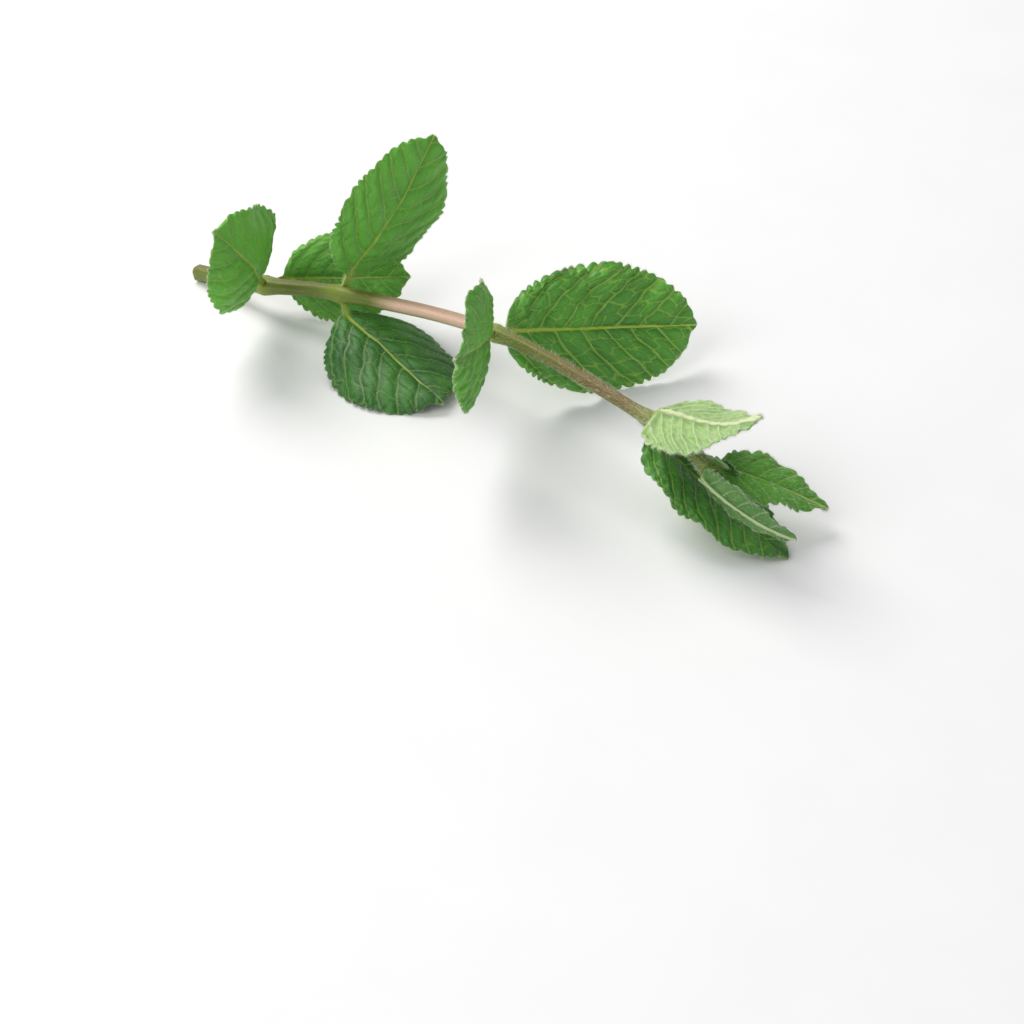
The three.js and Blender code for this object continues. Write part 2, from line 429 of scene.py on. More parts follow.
def cell_edges(x, y, seed):
    """How far each point is from the edges of a scattered net of cells one unit across."""
    size = 64
    jitter = np.random.default_rng(seed).uniform(0.12, 0.88, (size, size, 2))
    cx, cy = np.floor(x).astype(int), np.floor(y).astype(int)
    first = np.full(x.shape, np.inf)
    second = np.full(x.shape, np.inf)
    for dx in (-1, 0, 1):
        for dy in (-1, 0, 1):
            spot = jitter[(cx + dx) % size, (cy + dy) % size]
            gap = np.hypot(cx + dx + spot[..., 0] - x, cy + dy + spot[..., 1] - y)
            closer = gap < first
            second = np.where(closer, first, np.minimum(second, gap))
            first = np.where(closer, gap, first)
    return (second - first) / 2


# ---- Leaf detail on the flat ----
def side_veins(leaf, pairs, x, y, seed):
    """Counts side veins as a phase that is whole on each vein, with the spacing in mm.

    Veins leave the midrib at about 60 degrees and bow towards the tip near the margin.
    """
    blade = leaf["length"] - leaf["petiole"]
    out = np.abs(y)
    steep = 0.42 + 0.35 * np.clip(x / blade, 0, 1)
    bow = 0.55 / (leaf["width"] / 2)
    origin = x - out * steep - bow * out ** 2 + 0.35 * wander(x, y, 9.0, seed)
    slope = np.sqrt(1 + (steep + 2 * bow * out) ** 2)
    share = (origin / blade - VEINS_FROM) / (VEINS_TO - VEINS_FROM)
    phase = np.sign(share) * np.abs(share) ** 0.92 * (pairs - 1)
    spacing = blade * (VEINS_TO - VEINS_FROM) / (pairs - 1) / slope
    return phase, spacing


def leaf_relief(leaf, pairs, x, y, seed):
    """The side veins and the finer net, as distances in mm, and the swelling between them."""
    phase, spacing = side_veins(leaf, pairs, x, y, seed)
    phase = phase + np.where(y < 0, 0.38, 0.0)  # the two sides' veins don't leave as pairs
    to_vein = np.abs(phase - np.round(phase)) * spacing
    # the finer net runs in ladders between one side vein and the next
    cell = 2.5 * leaf["width"] / FULL_WIDTH + 0.35
    rungs = np.maximum(np.round(np.median(spacing) / cell), 1)
    to_net = cell_edges(
        phase * rungs + 7 + 0.1 * wander(x, y, 6, seed + 1),
        1.15 * np.abs(y) / cell + np.where(y < 0, 11, 31) + 0.1 * wander(x, y, 6, seed + 2),
        seed) * np.minimum(cell, spacing / rungs)
    return SimpleNamespace(
        phase=phase, spacing=spacing, to_vein=to_vein, to_net=to_net,
        pillow=(1 - bell(to_vein, 0.95)) * (1 - bell(y, 1.1)), cushion=1 - bell(to_net, 0.48))


def shaped(leaf, along, narrowing, round_foot):
    """What the plain half width is multiplied by for a narrower tip and a rounder foot."""
    blade = blade_share(leaf, along)
    rising = np.sin(math.pi * np.minimum(blade ** widening(leaf), 0.5))
    rounder = np.where(blade > 0, np.maximum(rising, 0.02) ** (-0.22 * round_foot), 1)
    return rounder * (1 - narrowing * smooth(0.3, 1.05, blade))


def toothed(leaf, along, across, sizes, teeth, seed):
    """How far each grid point moves along and out so that the margin is cut in round teeth."""
    length = leaf["length"]
    steps = np.linspace(leaf["petiole"] / length, 1, MARGIN_STEPS)
    dx, dy = np.gradient(steps * length), np.gradient(leaf_half_width(leaf, steps))
    stride = np.hypot(dx, dy)
    arc = np.cumsum(stride)
    to_end = arc / arc[-1]
    fade = smooth(0.04, 0.16, to_end) * (1 - 0.6 * smooth(0.985, 1, to_end))
    pitch = teeth * sizes.tooth_pitch * (0.65 + 0.35 * leaf["width"] / FULL_WIDTH)
    depth = teeth * sizes.tooth_depth * (0.6 + 0.4 * leaf["width"] / FULL_WIDTH)
    near = smooth(0.72, 1.0, np.abs(across))
    move_along, move_out = np.zeros_like(along), np.zeros_like(along)
    for side in (-1, 1):
        drift = 0.30 * wander(arc, 0 * arc, 5 * pitch, seed + side)
        share = np.mod(arc / pitch + drift + 0.5 * side, 1)
        bump = np.maximum(np.sin(math.pi * share ** 1.6), 0) ** 0.55
        uneven = 1 + 0.45 * wander(arc, 0 * arc, 4 * pitch, seed + 5 + side)
        cut = np.interp(along, steps, depth * (1 - bump) * uneven * fade)
        to_x = np.interp(along, steps, dy / stride)
        to_y = np.interp(along, steps, dx / stride)
        here = across * side > 0
        move_along += np.where(here, cut * near * to_x, 0)
        move_out += np.where(here, -side * cut * near * to_y, 0)
    return move_along, move_out


# ---- Leaves ----
SURFACES = {}


def leaf_grid(leaf, steps_along, steps_across, narrowing, round_foot):
    """The leaf's flat shell, and where each of its points is on the leaf.

    along and across are shares, and x and y are mm from the blade's foot. stalk, body, inner
    and rib go from 0 to 1 with how far the point is on the stalk, past the blade's foot,
    inside its margin and on its midrib.
    """
    length, size = leaf["length"], leaf["width"] / FULL_WIDTH
    foot = leaf["petiole"] / length
    mesh = shell_grid(steps_along, steps_across)
    flat = vectors(mesh, "co")
    step, across = (flat[:, 0] + 1) / 2, flat[:, 1]
    # the steps are closer together towards the foot and the tip of the blade
    step_on = np.clip((step - PETIOLE_STEPS) / (1 - PETIOLE_STEPS), 0, 1)
    blade = 0.2 * step_on + 0.8 * (1 - np.cos(math.pi * step_on)) / 2
    along = np.where(step < PETIOLE_STEPS, foot * step / PETIOLE_STEPS,
                     foot + (1 - foot) * blade)
    to_tip = np.clip(length * (1 - along) / TIP_ROUNDING, 0.02, 1)
    half = leaf_half_width(leaf, along) * np.sqrt(1 - (1 - to_tip) ** 2)
    y = across * (half * shaped(leaf, along, narrowing, round_foot))
    stalk = 1 - smooth(foot * 0.8, foot + 0.05, along)
    rib_width = (0.4 * size + 0.12) * (1 - 0.5 * np.clip(along, 0, 1))
    return mesh, SimpleNamespace(
        upper=flat[:, 2] > 0.5, along=along, across=across,
        x=along * length - leaf["petiole"], y=y,
        stalk=stalk, body=(1 - stalk) * smooth(0, 0.08, along - foot),
        inner=1 - smooth(0.86, 1.0, np.abs(across)),
        rib=bell(y, rib_width) * (1 - 0.75 * np.clip(along, 0, 1)))


def upper_height(at, relief, size, quilting, wave, bend, order):
    """How high the upper face stands: quilted skin, a sunk midrib, waves and a bent tip."""
    seed = SEED + 17 * order
    x, y = at.x, at.y
    ripple = wave * at.across ** 2 * np.sin(
        x / (13 * size + 2) * math.tau + np.where(y > 0, 0.0, 2.1) + order)
    ripple += 0.35 * wave * at.across ** 2 * wander(x, y, 9, seed + 9)
    skin = quilting * size ** 0.5 * at.body * (
        relief.pillow * (0.35 + 0.65 * at.inner) + 0.55 * relief.cushion * at.inner
        + 0.10 * wander(x, y, 1.3, seed + 3) * relief.pillow)
    skin -= 0.28 * at.rib * at.body
    skin += 0.3 * wander(x, y, 14, seed + 4) * at.body * size
    above = skin + ripple * at.body - 0.2 * (1 - at.across ** 2) * at.stalk + 0.35 * at.stalk
    return above - bend * smooth(0.45, 1.1, at.along) ** 1.5


def depth_below(at, relief, size, thickness, stalk_depth):
    """How far the underside is from the upper face: blade, raised veins and a round stalk."""
    blade = thickness * (0.55 + 0.45 * at.inner)
    raised = (0.95 * size ** 0.5 * at.rib
              + 0.30 * size * bell(relief.to_vein, 0.30) * at.inner
              + 0.06 * bell(relief.to_net, 0.22) * at.inner) * at.body
    stalk = stalk_depth * np.sqrt(np.clip(1 - 0.9 * at.across ** 2, 0, 1)) * at.stalk
    return blade * (1 - at.stalk) + raised + stalk


def build_leaf(leaf, finish, sizes, order):
    """The leaf's closed mesh: a quilted upper face over a ribbed underside."""
    pairs, youth, tone, quilting, wave, steps_along, steps_across = finish
    narrowing, round_foot, bend, teeth = LEAF_SHAPE.get(leaf["name"], PLAIN_SHAPE)
    seed = SEED + 17 * order
    length, size = leaf["length"], leaf["width"] / FULL_WIDTH
    mesh, at = leaf_grid(leaf, steps_along, steps_across, narrowing, round_foot)
    relief = leaf_relief(leaf, pairs, at.x, at.y, seed)
    move_along, move_out = toothed(leaf, at.along, at.across, sizes, teeth, seed)
    tip = np.exp(-(length * (1 - at.along) / 1.3) ** 2 - (at.y / 1.5) ** 2)
    share = (at.x + move_along + 0.9 * tip + leaf["petiole"]) / length
    out = at.y + move_out
    above = upper_height(at, relief, size, quilting * sizes.vein_relief, wave, bend, order)
    under = above - depth_below(at, relief, size, sizes.leaf_thickness,
                                STALK_DEPTH * min(1, leaf["width"] / 8))
    points = on_leaf(leaf, share, out, at.across, np.where(at.upper, above, under))
    # where the underside would sink into the surface below, the blade is pressed up
    low = on_leaf(leaf, share, out, at.across, under)[:, 2]
    pressed = CLOSEST * np.exp(np.minimum(low / CLOSEST - 1, 0))
    points[:, 2] += np.where(low < CLOSEST, pressed - low, 0)
    # the stalk bends back so that it grows out of the middle of the stem
    middle = stem_point(leaf["joint"] / (len(JOINTS) - 1))[0][0]
    bent = 1 - smooth(0, 1.15 * leaf["petiole"] / length + 0.02, at.along)
    points = points + (middle - leaf_foot(leaf)) * bent[:, None]

    # every face of the shell is a quad, and an upper face has all four corners above
    top = at.upper[corner_points(mesh)].reshape(-1, 4).all(axis=1)
    mesh.polygons.foreach_set("material_index", np.where(top, 0, 1).astype(np.int32))
    fine = size ** 0.7  # veins are finer on a smaller leaf
    taper = 1.05 - 0.85 * np.clip(at.along, 0, 1)
    add_values(mesh, dict(zip(LEAF_VALUES, (
        relief.phase, relief.spacing / fine, relief.to_net / fine,
        np.abs(at.y) / (taper * fine),
        # the swelling between veins, which the materials paint lighter, with the hollows by the
        # veins darker: painted light and shade of the quilting
        np.clip(relief.pillow * (0.5 + 0.5 * relief.cushion), 0, 1),
        np.full(len(at.x), tone), np.full(len(at.x), quilting),
        at.stalk * (1 - smooth(0.7, 1.7, np.abs(at.y)))))))
    set_points(mesh, points)
    face_outward(mesh)
    mesh.name = leaf["name"]
    SURFACES[leaf["name"]] = SimpleNamespace(
        points=points, normals=vectors(mesh, "normal"), forward=leaf_frame(leaf)[0], grid=at,
        to_vein=relief.to_vein, youth=youth, area=length * leaf["width"] * 0.75)
    return mesh


# ---- Stem ----
def stem_tube():
    """The stem's skin as one open sheet rolled up, square, ridged and ringed at its joints."""
    steps_along, steps_around = STEM_STEPS
    bm = bmesh.new()
    bmesh.ops.create_grid(bm, x_segments=steps_along, y_segments=steps_around, size=1.0)
    mesh = new_mesh(bm, "stem")
    flat = vectors(mesh, "co")
    at, angle = (flat[:, 0] + 1) / 2, (flat[:, 1] + 1) * math.pi
    points, tangent = stem_point(at)
    side, top = stem_sides(tangent)
    radial = side * np.cos(angle)[:, None] + top * np.sin(angle)[:, None]
    run = at * STEM_LENGTH
    groove = -0.035 * np.cos(4 * angle) ** 2
    # the tubes of fibre under the skin show as fine ridges along the stem
    fibre = 0.012 * np.sin(angle * 17 + 1.5 * wander(run, angle * 0, 40, 3))
    fibre += 0.01 * np.sin(angle * 29 + wander(run, angle * 0, 23, 4))
    lumps = 0.03 * wander(run, angle * 3, 11, 5)
    ring, at_joint = np.zeros_like(run), np.zeros_like(run)
    for joint in JOINTS[1:]:
        gap = np.linalg.norm(points - joint, axis=1)
        at_joint = np.maximum(at_joint, bell(gap, 4.5))
        ring += 0.10 * bell(gap - 0.3, 0.35)
    square = stem_half_width(at) * (1 + STEM_CORNER * np.sin(2 * angle) ** 2)
    surface = points + radial * (square + groove + fibre + lumps + ring)[:, None]
    surface[:, 2] = np.maximum(surface[:, 2], 0)
    corners = corner_points(mesh)
    unrolled = np.column_stack([at, angle / math.tau])[corners].astype(np.float32)
    mesh.uv_layers.new(name="stem_flat").data.foreach_set("uv", unrolled.ravel())
    add_values(mesh, {"run": run, "at_joint": at_joint, "upward": np.sin(angle)})
    set_points(mesh, surface)
    SURFACES["stem"] = SimpleNamespace(points=surface, radial=radial, tangent=tangent, at=at)
    return mesh


def build_stem():
    """The stem's skin with its seam closed, both ends filled and the cut one dished."""
    mesh = stem_tube()
    bm = bmesh.new()
    bm.from_mesh(mesh)
    bmesh.ops.remove_doubles(bm, verts=bm.verts, dist=1e-6)
    rims = [e for e in bm.edges if e.is_boundary]
    filled = bmesh.ops.holes_fill(bm, edges=rims, sides=0)["faces"]
    cut_point = Vector(((JOINTS[0] + OFFSET) * MM).tolist())
    cut_face = min(filled, key=lambda f: (f.calc_center_median() - cut_point).length)
    inward = Vector(stem_point(0)[1][0].tolist())
    to_centre = Matrix.Translation(-cut_face.calc_center_median())
    for share, depth in CUT_RINGS:
        cut_face = bmesh.ops.extrude_discrete_faces(bm, faces=[cut_face])["faces"][0]
        bmesh.ops.scale(bm, verts=cut_face.verts, vec=(share, share, share), space=to_centre)
        bmesh.ops.translate(bm, verts=cut_face.verts, vec=inward * depth * MM)
    bmesh.ops.poke(bm, faces=[cut_face])
    bmesh.ops.recalc_face_normals(bm, faces=bm.faces)
    cut_radius = STEM_WIDTH_AT_CUT / 2 * MM
    for face in bm.faces:
        near = (face.calc_center_median() - cut_point).length < cut_radius * 1.02
        flat_on = abs(face.normal.dot(inward)) > CUT_ACROSS
        face.material_index = 1 if near and flat_on else 0
    bm.to_mesh(mesh)
    bm.free()
    return mesh


# ---- Down ----
def hair_mesh(name, roots, tips, radius):
    """One mesh of three-sided hairs, each from a root to its tip, in mm."""
    for ends in (roots, tips):
        ends[:, 2] = np.maximum(ends[:, 2], HAIR_CLEARANCE)
    bm = bmesh.new()
    bmesh.ops.create_cone(bm, cap_ends=True, segments=3, radius1=1, radius2=0, depth=1)
    # hairs are doubled in a row, two units apart, so that x says which hair a corner is of
    count = 1
    while count < len(roots):
        wanted = 2 * min(count, len(roots) - count) - 1
        copied = [f for f in bm.faces if f.calc_center_median().x < wanted]
        made = bmesh.ops.duplicate(bm, geom=copied)
        fresh = [v for v in made["geom"] if isinstance(v, bmesh.types.BMVert)]
        bmesh.ops.translate(bm, verts=fresh, vec=(2 * count, 0, 0))
        count = min(2 * count, len(roots))
    mesh = new_mesh(bm, name)
    unit = vectors(mesh, "co")
    hair = np.round(unit[:, 0] / 2).astype(int)
    unit[:, 0] -= 2 * hair
    way = tips - roots
    reach = np.linalg.norm(way, axis=1, keepdims=True)
    way = way / reach
    helper = np.where(np.abs(way[:, 2:]) < 0.9, [[0, 0, 1]], [[1, 0, 0]])
    side = np.cross(helper, way)
    side /= np.linalg.norm(side, axis=1, keepdims=True)
    other = np.cross(way, side)
    points = (roots[hair] + (side[hair] * unit[:, :1] + other[hair] * unit[:, 1:2]) * radius
              + (way * reach)[hair] * (unit[:, 2:] + 0.5))
    set_points(mesh, points)
    return mesh


def leaf_hairs(names, total, sizes, seed):
    """Roots and tips of the down on some leaves: thick on margins and veins, thin between."""
    rng = np.random.default_rng(seed)
    leaves = [SURFACES[name] for name in names]
    whole = sum(leaf.area * (1 + leaf.youth) for leaf in leaves)
    roots, tips = [], []
    for leaf in leaves:
        at = leaf.grid
        edge = np.abs(at.across) > 0.985
        vein = bell(leaf.to_vein, 0.3) + bell(at.y, 0.6)
        weight = np.where(at.upper, 0.05 + 0.5 * leaf.youth + 0.15 * vein, 0.12 + 0.9 * vein)
        weight = np.where(edge, 4.5, weight)
        # the grid is closer towards the foot and tip, so thin the picks there
        weight = weight * (0.15 + np.sin(np.clip(at.along, 0, 1) * math.pi))
        count = int(total * (leaf.area * (1 + leaf.youth) / whole))
        picks = rng.choice(len(weight), count, p=weight / weight.sum())
        normal = leaf.normals[picks]
        outward = np.where(edge[picks], 0.5, 0.9)[:, None]
        lean = normal * outward + leaf.forward * 0.6 + rng.normal(0, 0.3, (count, 3))
        lean /= np.linalg.norm(lean, axis=1, keepdims=True)
        length = sizes.hair_length * rng.uniform(0.45, 1.15, (count, 1))
        root = leaf.points[picks] + rng.normal(0, 0.05, (count, 3)) - normal * HAIR_CLEARANCE
        roots.append(root)
        tips.append(root + lean * length)
    return np.vstack(roots), np.vstack(tips)


def stem_hairs(total, sizes, seed):
    """Roots and tips of the stem's down, which is thickest near the tip and on its joints."""
    rng = np.random.default_rng(seed)
    stem = SURFACES["stem"]
    weight = 0.02 + 0.6 * smooth(0.45, 0.8, stem.at) * (1 - 0.7 * smooth(0.8, 0.9, stem.at))
    for joint in JOINTS[3:]:
        weight = weight + 0.9 * bell(np.linalg.norm(stem.points - joint, axis=1), 4)
    picks = rng.choice(len(weight), total, p=weight / weight.sum())
    out = stem.radial[picks]
    lean = out * 0.8 - stem.tangent[picks] * 0.5 + rng.normal(0, 0.28, (total, 3))
    lean /= np.linalg.norm(lean, axis=1, keepdims=True)
    length = sizes.hair_length * rng.uniform(0.5, 1.3, (total, 1))
    root = stem.points[picks] - out * HAIR_CLEARANCE + rng.normal(0, 0.04, (total, 3))
    return root, root + lean * length


# ---- Materials ----
def add_node(tree, kind, sockets=None, out=0, **settings):
    """Adds one node and gives one of its outputs.

    sockets are values for its inputs, or outputs to join to them; settings are its own values.
    """
    node = tree.nodes.new("ShaderNode" + kind)
    for name, value in settings.items():
        setattr(node, name, value)
    for name, value in (sockets or {}).items():
        if isinstance(value, bpy.types.NodeSocket):
            tree.links.new(value, node.inputs[name])
        else:
            node.inputs[name].default_value = value
    return node.outputs[out] if node.outputs else None


def new_material(name):
    """An empty material, its nodes, and the place on the sprig that its textures follow."""
    material = bpy.data.materials.new(name)
    material.use_nodes = True
    tree = material.node_tree
    tree.nodes.clear()
    return material, tree, add_node(tree, "TexCoord", out="Object")


def leaf_material(name, deep, bright, vein_colour, rib_colour, stalk_colour, vein_share,
                  net_share, rough):
    """Leaf skin. Veins are paler lines, and the quilted skin between them is satin, painted
    lighter on its swellings and darker in the hollows by the veins as painted light and shade, so
    the eye reads a soft, living leaf with light coming a little way through it."""
    material, tree, place = new_material(name)
    phase, spacing, net, rib, painted_puff_light, tone, veining, stalk = (
        add_node(tree, "Attribute", out="Fac", attribute_name=key) for key in LEAF_VALUES)

    to_vein = phase
    for operation, other in (("ROUND", 0.0), ("SUBTRACT", phase), ("ABSOLUTE", 0.0),
                             ("MULTIPLY", spacing)):
        to_vein = add_node(tree, "Math", {0: to_vein, 1: other}, operation=operation)
    side_line, net_line, rib_line = (
        add_node(tree, "MapRange", {0: distance, 1: near, 2: far, 3: most, 4: 0.0},
                 interpolation_type="SMOOTHSTEP")
        for distance, near, far, most in (
            (to_vein, 0.05, 0.30, 1.0), (net, 0.01, 0.18, net_share), (rib, 0.22, 0.62, 1.0)))
    lines = side_line
    for operation, other in (("MAXIMUM", net_line), ("MULTIPLY", veining),
                             ("MULTIPLY", vein_share)):
        lines = add_node(tree, "Math", {0: lines, 1: other}, operation=operation)
    boldness = add_node(tree, "Math", {0: veining, 1: 0.6, 2: 0.35}, operation="MULTIPLY_ADD",
                        use_clamp=True)
    ribbed = add_node(tree, "Math", {0: rib_line, 1: boldness}, operation="MULTIPLY")

    broad, mottle = (
        add_node(tree, "TexNoise", {
            "Vector": place, "Scale": scale, "Detail": 3.0, "Roughness": roughness})
        for scale, roughness in ((90.0, 0.5), (1500.0, 0.6)))
    glands = add_node(tree, "TexVoronoi", {"Vector": place, "Scale": 1400.0})
    dots = add_node(tree, "MapRange", {0: glands, 1: 0.10, 2: 0.20, 3: 0.22, 4: 0.0})
    level = -0.35
    # the puff term paints the swollen skin between veins lighter and the hollows by the veins
    # darker, as painted light and shade; broad noise, mottle and tone are the leaf's own uneven
    # green
    for source, weight in ((broad, 0.9), (painted_puff_light, 0.30), (mottle, 0.30), (tone, 0.75)):
        level = add_node(tree, "Math", {0: source, 1: weight, 2: level},
                         operation="MULTIPLY_ADD")
    skin = (*deep, 1)
    for share, colour in ((level, bright), (lines, vein_colour), (ribbed, rib_colour),
                          (stalk, stalk_colour), (dots, vein_colour)):
        skin = add_node(tree, "Mix", {0: share, 6: skin, 7: (*colour, 1)}, 2, data_type="RGBA")

    rougher = add_node(tree, "MapRange", {0: mottle, 3: rough - 0.10, 4: rough + 0.14})
    height = add_node(tree, "Math", {0: lines, 1: -0.4, 2: mottle}, operation="MULTIPLY_ADD")
    bump = add_node(tree, "Bump", {"Height": height, "Strength": 0.55, "Distance": 0.00011})
    shader = add_node(tree, "BsdfPrincipled", {
        "Base Color": skin, "Roughness": rougher, "IOR": 1.45, "Normal": bump,
        "Subsurface Weight": 0.22, "Subsurface Radius": (0.5, 1.0, 0.22),
        "Subsurface Scale": 0.0006})
    add_node(tree, "OutputMaterial", {"Surface": shader})
    return material


def stem_material(colours):
    """Stem skin. Long fibres streak green that flushes to a purplish brown on top and goes
    pale and pink low down, where the pale pink is partly the stem's own and partly a painted
    highlight, so the eye reads a square, juicy herb stem."""
    material, tree, place = new_material("mint_stem_skin")
    run, joint, upward = (add_node(tree, "Attribute", out="Fac", attribute_name=key)
                          for key in ("run", "at_joint", "upward"))
    flat = add_node(tree, "UVMap", uv_map="stem_flat")
    streaks = add_node(tree, "Mapping", {"Vector": flat, "Scale": (9.0, 42.0, 1.0)})
    streak = add_node(tree, "TexNoise", {
        "Vector": streaks, "Scale": 1.0, "Detail": 5.0, "Roughness": 0.62})
    grain = add_node(tree, "TexNoise", {"Vector": place, "Scale": 2600.0, "Detail": 3.0})
    share = add_node(tree, "MapRange", {0: run, 1: 0.0, 2: STEM_LENGTH})
    # the ramp's pale pink middle is partly a painted highlight
    skin = add_node(tree, "ValToRGB", {0: share})
    elements = skin.node.color_ramp.elements
    while len(elements) < len(STEM_COLOURS):
        elements.new(0.5)
    for element, (position, key) in zip(elements, STEM_COLOURS):
        element.position = position
        element.color = (*getattr(colours, key), 1)
    low, crest = (
        add_node(tree, "MapRange", {0: upward, 1: start, 2: end, 3: 0.0, 4: most},
                 interpolation_type="SMOOTHSTEP")
        for start, end, most in ((0.35, -0.75, 0.65), (0.6, 0.98, 0.45)))
    streaked = add_node(tree, "MapRange", {0: streak, 1: 0.42, 2: 0.68, 3: 0.0, 4: 0.42})
    ringed = add_node(tree, "Math", {0: joint, 1: 0.55}, operation="MULTIPLY")
    for share, colour in ((low, colours.stem_green), (crest, colours.stem_flush),
                          (streaked, colours.stem_streak), (ringed, colours.stem_joint)):
        skin = add_node(tree, "Mix", {0: share, 6: skin, 7: (*colour, 1)}, 2, data_type="RGBA")
    rougher = add_node(tree, "MapRange", {0: grain, 3: 0.34, 4: 0.58})
    height = add_node(tree, "Math", {0: streak, 1: 1.4, 2: grain}, operation="MULTIPLY_ADD")
    bump = add_node(tree, "Bump", {"Height": height, "Strength": 0.5, "Distance": 0.00009})
    shader = add_node(tree, "BsdfPrincipled", {
        "Base Color": skin, "Roughness": rougher, "IOR": 1.42, "Normal": bump,
        "Subsurface Weight": 0.3, "Subsurface Radius": (1.0, 0.8, 0.35),
        "Subsurface Scale": 0.0009})
    add_node(tree, "OutputMaterial", {"Surface": shader})
    return material


def pith_material(colours):
    """Cut pith. Pale, damp and full of small cells inside a green rim, so the eye reads a
    stem that was cut with a knife."""
    material, tree, place = new_material("mint_cut_pith")
    cells = add_node(tree, "TexVoronoi", {"Vector": place, "Scale": 4200.0})
    middle = tuple((JOINTS[0] + OFFSET) * MM)
    gap = add_node(tree, "VectorMath", {0: place, 1: middle}, "Value", operation="DISTANCE")
    rim = add_node(tree, "MapRange", {0: gap, 1: 0.0011, 2: 0.0017},
                   interpolation_type="SMOOTHSTEP")
    skin = (*colours.pith, 1)
    for share, colour in ((cells, linear("#b9c48a")), (rim, colours.stem_green)):
        skin = add_node(tree, "Mix", {0: share, 6: skin, 7: (*colour, 1)}, 2, data_type="RGBA")
    bump = add_node(tree, "Bump", {"Height": cells, "Strength": 0.6, "Distance": 0.00012})
    shader = add_node(tree, "BsdfPrincipled", {
        "Base Color": skin, "Roughness": 0.32, "IOR": 1.38, "Normal": bump,
        "Subsurface Weight": 0.4, "Subsurface Radius": (1.0, 0.9, 0.5),
        "Subsurface Scale": 0.0012})
    add_node(tree, "OutputMaterial", {"Surface": shader})
    return material


def hair_material(colours):
    """Plant down. Fine, pale and satin, so the eye reads a soft bloom of light
    along the edges."""
    material, tree, place = new_material("mint_down")
    noise = add_node(tree, "TexNoise", {"Vector": place, "Scale": 900.0, "Detail": 2.0})
    skin = add_node(tree, "Mix", {0: noise, 6: (*colours.down, 1), 7: (*linear("#e6eecf"), 1)},
                    2, data_type="RGBA")
    shader = add_node(tree, "BsdfPrincipled", {
        "Base Color": skin, "Roughness": 0.42, "IOR": 1.5})
    add_node(tree, "OutputMaterial", {"Surface": shader})
    return material


def floor_material(colours):
    """Pale matt card, a little uneven, so the eye reads a clean surface and nothing more."""
    material, tree, place = new_material("pale_card")
    noise = add_node(tree, "TexNoise", {"Vector": place, "Scale": 40.0, "Detail": 4.0})
    skin = add_node(tree, "Mix", {0: noise, 6: (*colours.card, 1), 7: (*linear("#f1f1f3"), 1)},
                    2, data_type="RGBA")
    shader = add_node(tree, "BsdfPrincipled", {"Base Color": skin, "Roughness": 0.75})
    add_node(tree, "OutputMaterial", {"Surface": shader})
    return material


MADE = {}


def materials(colours):
    """Every material of the sprig, made once."""
    if not MADE:
        MADE["upper"] = leaf_material(
            "mint_leaf_upper_skin", colours.leaf_deep, colours.leaf_bright,
            colours.leaf_vein, colours.leaf_rib, colours.leaf_stalk, 0.66, 0.66, 0.48)
        MADE["under"] = leaf_material(
            "mint_leaf_under_skin", colours.under_deep, colours.under_bright,
            colours.under_vein, colours.under_vein, colours.leaf_stalk, 0.62, 0.34, 0.58)
        MADE["stem"] = stem_material(colours)
        MADE["pith"] = pith_material(colours)
        MADE["down"] = hair_material(colours)
    return MADE


# ---- Settings ----
def size_property(name, description, millimetres):
    return FloatProperty(name=name, description=description, default=millimetres * MM,
                         min=0.0, soft_max=0.01, precision=5, unit="LENGTH",
                         subtype="DISTANCE")


def colour_property(name, description, hex_colour):
    return FloatVectorProperty(name=name, description=description, subtype="COLOR", size=3,
                               min=0.0, max=1.0, default=linear(hex_colour))


def place_property(name, description, *place):
    return FloatVectorProperty(name=name, description=description, subtype="TRANSLATION",
                               unit="LENGTH", default=place)


def power_property(name, description, watts):
    return FloatProperty(name=name, description=description, default=watts, min=0.0,
                         unit="POWER")


class MintSizes(bpy.types.PropertyGroup):
    leaf_thickness: size_property("Leaf thickness", "Thickness of the blade", 0.28)
    vein_relief: size_property("Quilting", "How far the skin swells between veins", 0.60)
    tooth_pitch: size_property("Tooth pitch", "From one tooth of the margin to the next", 2.3)
    tooth_depth: size_property("Tooth depth", "How deep the margin is cut", 0.75)
    hair_length: size_property("Down length", "Length of the longer hairs", 0.85)
    hair_radius: size_property("Down radius", "Half width of a hair at its root", 0.02)


class MintColours(bpy.types.PropertyGroup):
    leaf_deep: colour_property("Leaf deep", "Deep green of old leaves", "#265a24")
    leaf_bright: colour_property("Leaf bright", "Bright green of young leaves", "#66b03a")
    leaf_vein: colour_property("Leaf vein", "Veins seen from above", "#9fcb50")
    leaf_rib: colour_property("Leaf midrib", "Midrib seen from above", "#b9d250")
    leaf_stalk: colour_property("Leaf stalk", "Short stalk of a leaf", "#93ad48")
    under_deep: colour_property("Underside deep", "Underside of old leaves", "#4d7f38")
    under_bright: colour_property("Underside bright", "Underside of young leaves", "#a3c480")
    under_vein: colour_property("Underside vein", "Raised veins below", "#d6e0b2")
    stem_green: colour_property("Stem green", "Shaded side of the stem", "#5f7224")
    stem_joint: colour_property("Stem joint", "Yellow green at the joints", "#879a36")
    stem_flush: colour_property("Stem flush", "Purplish brown of the upper stem", "#735d34")
    # partly the stem's own pink and partly a painted highlight
    stem_pink_and_highlight: colour_property("Stem pink", "Pinkish middle of the stem", "#e2bcab")
    stem_streak: colour_property("Stem streak", "Pale fibres in the stem", "#9a9658")
    pith: colour_property("Pith", "Inside of the cut stem", "#dfe3bd")
    down: colour_property("Down", "Hairs", "#fbfcf4")
    card: colour_property("Card", "Surface below", "#f6f6f8")


LIGHTS_AIM = (0.0, 0.0, 0.01)


